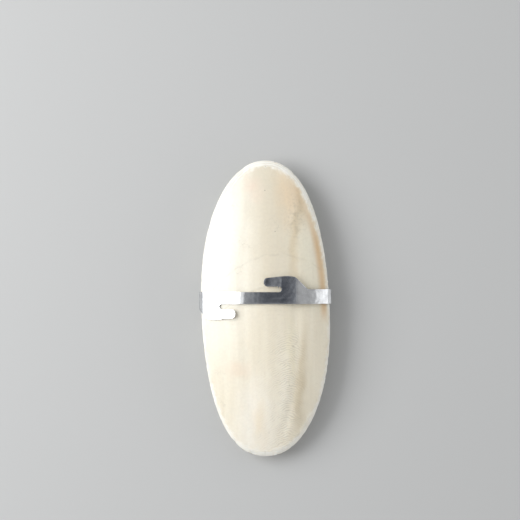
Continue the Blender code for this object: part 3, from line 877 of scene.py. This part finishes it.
@dataclass(frozen=True)
class TinplateFinish:
    """Tinplate: cold rolled steel sheet with a thin coat of tin, cut and bent after coating.

    The flowed tin is close to a mirror. The rolls left fine streaks along the strip, which soften its
    reflections, and handling left duller clouds.
    """

    tin: str = "#D2D4D6"
    tarnish: str = "#A9A9AC"
    # Real roll streaks are a few hundredths of a millimetre wide. They are drawn coarser, to show at all.
    streak_mm: float = 0.12
    streak_length_mm: float = 9.0

    def build(self) -> bpy.types.Material:
        """Build the material for the clip."""
        material = bpy.data.materials.new("tinplate")
        material.use_nodes = True
        tree = material.node_tree
        shader = tree.nodes["Principled BSDF"]
        strip = add(tree, "ShaderNodeUVMap", uv_map="strip_mm")
        scale = (1.0 / self.streak_length_mm, 1.0 / self.streak_mm, 1.0)
        drawn = add(tree, "ShaderNodeMapping", {"Vector": strip, "Scale": scale})
        streaks = add(tree, "ShaderNodeTexNoise", {"Vector": drawn, "Scale": 1.0, "Detail": 3.0})
        clouds = add(tree, "ShaderNodeTexNoise", {"Vector": strip, "Scale": 0.35, "Detail": 3.0})
        dull = add(tree, "ShaderNodeMapRange", {"Value": clouds, 1: 0.40, 2: 0.75, 4: 0.55})
        colour = add(
            tree, "ShaderNodeMix",
            {"Factor": dull, "A": linear(self.tin), "B": linear(self.tarnish)}, data_type="RGBA",
        )
        rough = add(tree, "ShaderNodeMath", {0: streaks, 1: 0.12, 2: 0.05}, operation="MULTIPLY_ADD")
        rough = add(tree, "ShaderNodeMath", {0: dull, 1: 0.10, 2: rough}, operation="MULTIPLY_ADD")
        lines = add(tree, "ShaderNodeBump", {"Height": streaks, "Distance": 0.006 * MM, "Strength": 0.6})
        tree.links.new(next(s for s in colour.outputs if s.enabled), shader.inputs["Base Color"])
        tree.links.new(rough.outputs[0], shader.inputs["Roughness"])
        tree.links.new(lines.outputs[0], shader.inputs["Normal"])
        shader.inputs["Metallic"].default_value = 1.0
        return material


@dataclass
class BentPath:
    """The middle of the bent sheet, as x and z, read by its length from a middle x on its top."""

    points: list[Vector]
    middle_x: float
    top_height: float
    lengths: list[float] = field(init=False)

    def __post_init__(self) -> None:
        """Measure the path from its middle."""
        steps = [(after - before).length for before, after in zip(self.points, self.points[1:])]
        lengths = [0.0, *np.cumsum(steps).tolist()]
        middle = next(
            lengths[index] + (self.middle_x - start.x) / (end.x - start.x) * steps[index]
            for index, (start, end) in enumerate(zip(self.points, self.points[1:]))
            if min(start.y, end.y) > self.top_height and start.x <= self.middle_x <= end.x
        )
        self.lengths = [length - middle for length in lengths]

    def edge_length(self, side: Side) -> float:
        """Give the length at the path's outermost point on one side."""
        return self.lengths[max(range(len(self.points)), key=lambda item: side.value * self.points[item].x)]

    def at(self, length: float) -> tuple[Vector, Vector]:
        """Give the path's point at a length, and its direction there."""
        index = 0
        while index < len(self.points) - 2 and self.lengths[index + 1] < length - 1e-9:
            index += 1
        start, end = self.points[index], self.points[index + 1]
        direction = (end - start).normalized()
        return start + direction * (length - self.lengths[index]), direction


@dataclass(frozen=True)
class Denting:
    """Shallow hollows that handling left in the sheet. Layer picks their own slice of the noise."""

    depth: float
    length: float
    width: float
    layer: float

    def at(self, length: float, across: float) -> float:
        """Give how deep the sheet lies at a place of the flat blank."""
        place = Vector((length / self.length, across / self.width, self.layer))
        return self.depth * (0.5 - 0.5 * noise.noise(place))


@dataclass
class HolderClip:
    """The clip: a flat strip with two hooks, the same after half a turn, wrapped round the bone."""

    form: BoneForm = field(default_factory=BoneForm)
    finish: TinplateFinish = field(default_factory=TinplateFinish)
    centre_x: float = -6.37 * MM
    centre_y: float = 4.45 * MM
    sheet: float = 0.5 * MM
    gap: float = 0.3 * MM
    strap_half_width: float = 2.37 * MM
    wide_edge: float = 3.5 * MM
    slot_width: float = 2.24 * MM
    slot_end: float = 12.76 * MM
    hook_tip: float = 5.64 * MM
    hook_top: float = 8.96 * MM
    hook_tip_top: float = 7.97 * MM
    hook_crest: float = 15.5 * MM
    shoulder_top: tuple[float, float] = (18.3 * MM, 8.46 * MM)
    shoulder_foot: float = 23.6 * MM
    slot_rounding: float = 0.49
    tip_rounding: float = 0.46
    crest_radius: float = 12.0 * MM
    shoulder_radius: float = 1.1 * MM
    foot_radius: float = 1.8 * MM
    claw_corner: float = 1.6 * MM
    hook_lift: float = math.radians(2.5)
    left_bow: tuple[tuple[float, float], ...] = (
        (9.1 * MM, 125.0 * MM), (1.1 * MM, 18.0 * MM), (4.0 * MM, 9.0 * MM),
    )
    left_bow_x: float = 1.5 * MM
    right_bow: tuple[tuple[float, float], ...] = (
        (3.9 * MM, 100.0 * MM), (1.0 * MM, 2.5 * MM), (11.0 * MM, 90.0 * MM),
    )
    right_bow_x: float = 8.3 * MM
    bow_step: float = 0.12 * MM
    left_claw: float = 15.0 * MM
    right_claw: float = 9.5 * MM
    section_points: int = 90
    arc_step: float = math.radians(9.0)
    cut_spacing: float = 0.4 * MM
    dents: tuple[Denting, ...] = (
        Denting(0.07 * MM, 6.0 * MM, 5.0 * MM, 3.7),
        Denting(0.028 * MM, 1.6 * MM, 1.4 * MM, 8.1),
    )
    edge_roll: float = 0.02 * MM
    edge_roll_width: float = 0.8 * MM
    tip_curl: float = 0.12 * MM
    tip_curl_length: float = 3.0 * MM
    edge_round: float = 0.09 * MM

    def build(self) -> bpy.types.Object:
        """Cut, bend, thicken and dress the clip.

        Returns:
            The finished piece.
        """
        path = self.trace_path()
        ends = (
            path.edge_length(Side.LEFT) - self.left_claw,
            path.edge_length(Side.RIGHT) + self.right_claw,
        )
        left = [(-x, -y, radius) for x, y, radius in self.hook_corners(-ends[0])]
        outline = self.outline(left + self.hook_corners(ends[1]))
        mesh = self.blank(outline)
        self.bend(mesh, outline, path)
        clip = bpy.data.objects.new("clip_sheet", mesh)
        bpy.context.scene.collection.objects.link(clip)
        mesh.materials.append(self.finish.build())
        wall = clip.modifiers.new("sheet", "SOLIDIFY")
        wall.thickness = self.sheet
        wall.offset = 0.0
        wall.use_even_offset = True
        rounding = clip.modifiers.new("rounding", "BEVEL")
        rounding.width = self.edge_round
        rounding.segments = 2
        rounding.limit_method = "ANGLE"
        rounding.angle_limit = math.radians(60.0)
        rounding.harden_normals = False
        settle(clip)
        clip.data.shade_smooth()
        clip.data.set_sharp_from_angle(angle=math.radians(40.0))
        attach(clip, "root")
        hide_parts("holder_clip")
        return clip

    def trace_path(self) -> BentPath:
        """Trace the middle of the sheet round the bone, pulled tight over the two bends of its top."""
        around = []
        for y in (self.centre_y - self.wide_edge, self.centre_y, self.centre_y + self.wide_edge):
            around += [Vector(p) for p in self.form.section(2.0 * y / self.form.length, self.section_points)]
        crown = max(point.y for point in around)
        around += self.bow(Vector((self.left_bow_x, crown)), Side.LEFT, self.left_bow)
        around += self.bow(Vector((self.right_bow_x, crown)), Side.RIGHT, self.right_bow)
        hull = [around[index] for index in geometry.convex_hull_2d(around)]
        if sum(a.cross(b) for a, b in zip(hull, hull[1:] + hull[:1])) > 0.0:
            hull.reverse()
        first = min(range(len(hull)), key=lambda index: hull[index].y)
        hull = hull[first:] + hull[:first]
        offset = self.gap + 0.5 * self.sheet
        points = []
        for before, corner, after in zip(hull[-1:] + hull[:-1], hull, hull[1:] + hull[:1]):
            into, out = (corner - before).normalized(), (after - corner).normalized()
            turn = math.atan2(into.cross(out), into.dot(out))
            steps = max(1, math.ceil(abs(turn) / self.arc_step))
            for step in range(steps + 1):
                heading = into.copy()
                heading.rotate(Matrix.Rotation(turn * step / steps, 2))
                point = corner + offset * Vector((-heading.y, heading.x))
                if not points or (point - points[-1]).length > 0.02 * MM:
                    points.append(point)
        return BentPath(points, self.centre_x, self.form.edge_height)

    def bow(self, point: Vector, side: Side, arcs: tuple[tuple[float, float], ...]) -> list[Vector]:
        """Follow arcs that leave the strap's flat top and turn down to one side.

        Args:
            point: Where the first arc starts, on the flat top.
            side: The side that the arcs run to.
            arcs: Length and radius of each arc, one after another.

        Returns:
            The points on the arcs.
        """
        points, turn = [point], 0.0
        for length, radius in arcs:
            for _ in range(round(length / self.bow_step)):
                turn += self.bow_step / radius
                heading = Vector((side.value * math.cos(turn), -math.sin(turn)))
                points.append(points[-1] + self.bow_step * heading)
        return points

    def hook_corners(self, end: float) -> list[tuple[float, float, float]]:
        """List the corners of one hooked edge, each with the radius that rounds it."""
        slot_high = self.strap_half_width + self.slot_width
        slot_round = self.slot_rounding * self.slot_width
        tip_round = self.tip_rounding * (self.hook_tip_top - slot_high)
        return [
            (self.slot_end, self.strap_half_width, slot_round),
            (self.slot_end, slot_high, slot_round),
            (self.hook_tip, slot_high, tip_round),
            (self.hook_tip, self.hook_tip_top, tip_round),
            (self.hook_crest, self.hook_top, self.crest_radius),
            (*self.shoulder_top, self.shoulder_radius),
            (self.shoulder_foot, self.wide_edge, self.foot_radius),
            (end, self.wide_edge, self.claw_corner),
            (end, -self.strap_half_width, self.claw_corner),
        ]

    def outline(self, corners: list[tuple[float, float, float]]) -> list[Vector]:
        """Round the corners of a closed outline by arcs.

        Args:
            corners: The corners in order, as x, y and radius.

        Returns:
            The outline's points in order.
        """
        points = []
        for before, corner, after in zip(corners[-1:] + corners[:-1], corners, corners[1:] + corners[:1]):
            here = Vector(corner[:2])
            back = (Vector(before[:2]) - here).normalized()
            ahead = (Vector(after[:2]) - here).normalized()
            half_angle = 0.5 * back.angle(ahead)
            centre = here + (back + ahead).normalized() * corner[2] / math.sin(half_angle)
            first = here + back * corner[2] / math.tan(half_angle) - centre
            sweep = math.copysign(math.pi - 2.0 * half_angle, ahead.cross(back))
            steps = max(1, math.ceil(abs(sweep) / self.arc_step))
            for step in range(steps + 1):
                turned = first.copy()
                turned.rotate(Matrix.Rotation(sweep * step / steps, 2))
                points.append(centre + turned)
        return points

    @staticmethod
    def blank(outline: list[Vector]) -> bpy.types.Mesh:
        """Cut the flat blank: a filled outline, before any bend.

        Args:
            outline: The blank's outline, in order.

        Returns:
            The flat sheet, with no thickness yet.
        """
        curve = bpy.data.curves.new("clip_blank", "CURVE")
        curve.dimensions = "2D"
        curve.fill_mode = "BOTH"
        spline = curve.splines.new("POLY")
        spline.points.add(len(outline) - 1)
        for point, place in zip(spline.points, outline):
            point.co = (place.x, place.y, 0.0, 1.0)
        spline.use_cyclic_u = True
        holder = bpy.data.objects.new("clip_blank", curve)
        bpy.context.scene.collection.objects.link(holder)
        graph = bpy.context.evaluated_depsgraph_get()
        mesh = bpy.data.meshes.new_from_object(holder.evaluated_get(graph))
        bpy.data.objects.remove(holder)
        bpy.data.curves.remove(curve)
        mesh.name = "clip_sheet"
        return mesh

    def bend(self, mesh: bpy.types.Mesh, outline: list[Vector], path: BentPath) -> None:
        """Cut the blank into a fine grid, keep its flat places for the streaks, and bend it.

        Args:
            mesh: The flat sheet, changed in place.
            outline: The blank's outline, in order.
            path: The path that the sheet is bent along.
        """
        bm = bmesh.new()
        bm.from_mesh(mesh)
        bmesh.ops.remove_doubles(bm, verts=bm.verts, dist=0.001 * MM)
        left, right = min(point.x for point in outline), max(point.x for point in outline)
        bends = [length for length in path.lengths if left < length < right]
        even = np.arange(left + self.cut_spacing, right, self.cut_spacing)
        clear = [cut for cut in even if min(abs(cut - bend) for bend in bends) > 0.3 * self.cut_spacing]
        cuts = [((x, 0, 0), (1, 0, 0)) for x in bends + clear + [-self.slot_end, self.slot_end]]
        high = self.hook_top
        cuts += [((0, y, 0), (0, 1, 0)) for y in np.arange(-high, high, self.cut_spacing)]
        for place, facing in cuts:
            everything = bm.verts[:] + bm.edges[:] + bm.faces[:]
            bmesh.ops.bisect_plane(bm, geom=everything, plane_co=place, plane_no=facing, dist=0.002 * MM)
        strip = bm.loops.layers.uv.new("strip_mm")
        for face in bm.faces:
            for loop in face.loops:
                loop[strip].uv = (loop.vert.co.x / MM, loop.vert.co.y / MM)
        rim = self.rim_tree(outline)
        for vert in bm.verts:
            near = max(0.0, 1.0 - rim.find((vert.co.x, vert.co.y, 0.0))[2] / self.edge_roll_width)
            vert.co = self.bent(vert.co, path, self.edge_roll * near * near)
        bmesh.ops.recalc_face_normals(bm, faces=bm.faces)
        bm.to_mesh(mesh)
        bm.free()

    def rim_tree(self, outline: list[Vector]) -> kdtree.KDTree:
        """Gather closely spaced points of the outline, to measure distances from the cut edge."""
        points = []
        for start, end in zip(outline, outline[1:] + outline[:1]):
            steps = max(1, math.ceil((end - start).length / (0.25 * self.edge_roll_width)))
            points += [start.lerp(end, step / steps) for step in range(steps)]
        tree = kdtree.KDTree(len(points))
        for index, point in enumerate(points):
            tree.insert((point.x, point.y, 0.0), index)
        tree.balance()
        return tree

    def bent(self, flat: Vector, path: BentPath, sunk: float) -> Vector:
        """Give the place on the bent clip of a point of the flat blank.

        Args:
            flat: The point on the blank.
            path: The path that the sheet is bent along.
            sunk: How far the punch drew the sheet down here.

        Returns:
            The point on the bent clip.
        """
        length, across = flat.x, flat.y
        side = math.copysign(1.0, across)
        inward = self.slot_end - side * length
        if abs(across) > self.strap_half_width + 0.5 * self.slot_width and inward > 0.0:
            root, direction = path.at(side * self.slot_end)
            direction.rotate(Matrix.Rotation(-side * self.hook_lift, 2))
            to_tip = self.slot_end - self.hook_tip - inward
            sunk += self.tip_curl * max(0.0, 1.0 - to_tip / self.tip_curl_length) ** 2
            place = root - side * inward * direction
        else:
            place, direction = path.at(length)
        for denting in self.dents:
            sunk += denting.at(length, across)
        place = place - sunk * Vector((-direction.y, direction.x))
        return Vector((place.x, across + self.centre_y, place.y))


@dataclass(frozen=True)
class PaperSweep:
    """Matt studio paper: a plain pale grey ground, pressed from pulp, so with a barely visible grain."""

    tone: str = "#BFC0C0"
    half_size: float = 2.5

    def build(self) -> bpy.types.Object:
        """Lay the ground under the bone."""
        bm = bmesh.new()
        bmesh.ops.create_grid(bm, x_segments=1, y_segments=1, size=self.half_size)
        mesh = bpy.data.meshes.new("paper")
        bm.to_mesh(mesh)
        bm.free()
        material = bpy.data.materials.new("paper")
        material.use_nodes = True
        tree = material.node_tree
        shader = tree.nodes["Principled BSDF"]
        place = add(tree, "ShaderNodeTexCoord").outputs["Object"]
        fibre = add(tree, "ShaderNodeTexNoise", {"Vector": place, "Scale": 900.0, "Detail": 3.0})
        grain = add(tree, "ShaderNodeBump", {"Height": fibre, "Distance": 0.05 * MM, "Strength": 0.3})
        tree.links.new(grain.outputs[0], shader.inputs["Normal"])
        shader.inputs["Base Color"].default_value = linear(self.tone)
        shader.inputs["Roughness"].default_value = 0.95
        shader.inputs["Specular IOR Level"].default_value = 0.1
        mesh.materials.append(material)
        ground = bpy.data.objects.new("paper", mesh)
        bpy.context.scene.collection.objects.link(ground)
        return ground


@dataclass(frozen=True)
class Softbox:
    """A square studio light, placed by its lean from straight up, its swing and its distance."""

    name: str
    lean: float
    swing: float
    distance: float
    width: float
    height: float
    radiance: float

    def build(self) -> bpy.types.Object:
        """Hang the light and turn it to the bone."""
        lamp = bpy.data.lights.new(self.name, "AREA")
        lamp.shape = "RECTANGLE"
        lamp.size = self.width
        lamp.size_y = self.height
        lamp.energy = self.radiance * math.pi * self.width * self.height
        box = bpy.data.objects.new(self.name, lamp)
        turned = Matrix.Rotation(self.swing, 4, "Z") @ Matrix.Rotation(self.lean, 4, "Y")
        box.matrix_world = turned @ Matrix.Translation((0.0, 0.0, self.distance))
        box.visible_camera = False
        bpy.context.scene.collection.objects.link(box)
        return box


@dataclass(frozen=True)
class Studio:
    """The camera straight above the bone, a strong light and its weak edge on the left, a rim light right."""

    camera_height: float = 0.9
    focus_height: float = 10.6 * MM
    field_width: float = 210.3 * MM
    centre: tuple[float, float] = (-2.22 * MM, 19.7 * MM)
    softboxes: tuple[Softbox, ...] = (
        Softbox("key", math.radians(-51.0), math.radians(-16.0), 0.75, 0.47, 0.60, 5.6),
        Softbox("key_edge", math.radians(-24.0), math.radians(-16.0), 0.75, 0.22, 0.60, 0.8),
        Softbox("rim", math.radians(72.5), 0.0, 0.75, 0.32, 1.30, 0.8),
    )
    room_tones: tuple[tuple[float, str], ...] = (
        (0.0, "#262931"), (1.4, "#3A3D46"), (2.3, "#5C5F66"), (4.6, "#6A6D74"), (6.4, "#A0A2A6"),
        (8.0, "#AAACAF"), (20.0, "#A8A9AB"), (36.0, "#B2B2B2"), (50.0, "#BDBDBD"), (76.0, "#D0D0D0"),
        (90.0, "#FAFAFA"),
    )

    def build(self) -> None:
        """Set up the camera, the lights and the light of the room."""
        lens = bpy.data.cameras.new("camera")
        lens.sensor_width = 36.0
        lens.lens = lens.sensor_width * self.camera_height / self.field_width
        lens.clip_start = 0.01
        camera = bpy.data.objects.new("camera", lens)
        camera.location = (*self.centre, self.focus_height + self.camera_height)
        bpy.context.scene.collection.objects.link(camera)
        bpy.context.scene.camera = camera
        for softbox in self.softboxes:
            softbox.build()
        self.room()
        bpy.context.scene.view_settings.view_transform = "Standard"

    def room(self) -> None:
        """Light the room: dark overhead, where the camera hangs, and pale towards the walls."""
        world = bpy.data.worlds.new("room")
        world.use_nodes = True
        tree = world.node_tree
        heading = add(tree, "ShaderNodeTexCoord").outputs["Generated"]
        up = add(tree, "ShaderNodeSeparateXYZ", {"Vector": heading})
        lean = add(tree, "ShaderNodeMath", {0: up.outputs["Z"]}, operation="ARCCOSINE")
        share = add(tree, "ShaderNodeMath", {0: lean, 1: math.pi / 2.0}, operation="DIVIDE")
        tones = add(tree, "ShaderNodeValToRGB", {"Fac": share})
        for index, (degrees, tone) in enumerate(self.room_tones):
            if index >= len(tones.color_ramp.elements) - 1 and index < len(self.room_tones) - 1:
                tones.color_ramp.elements.new(degrees / 90.0)
            tones.color_ramp.elements[index].position = degrees / 90.0
            tones.color_ramp.elements[index].color = linear(tone)
        tree.links.new(tones.outputs["Color"], tree.nodes["Background"].inputs["Color"])
        bpy.context.scene.world = world


def main() -> None:
    """Build the studio, the bone and the clip, and note the sizes."""
    logging.basicConfig(level=logging.INFO, format="%(name)s: %(message)s")
    Studio().build()
    PaperSweep().build()
    for piece in (Cuttlebone().build(), HolderClip().build()):
        LOG.info("%s has %d faces", piece.name, len(piece.data.polygons))


if __name__ == "__main__":
    main()
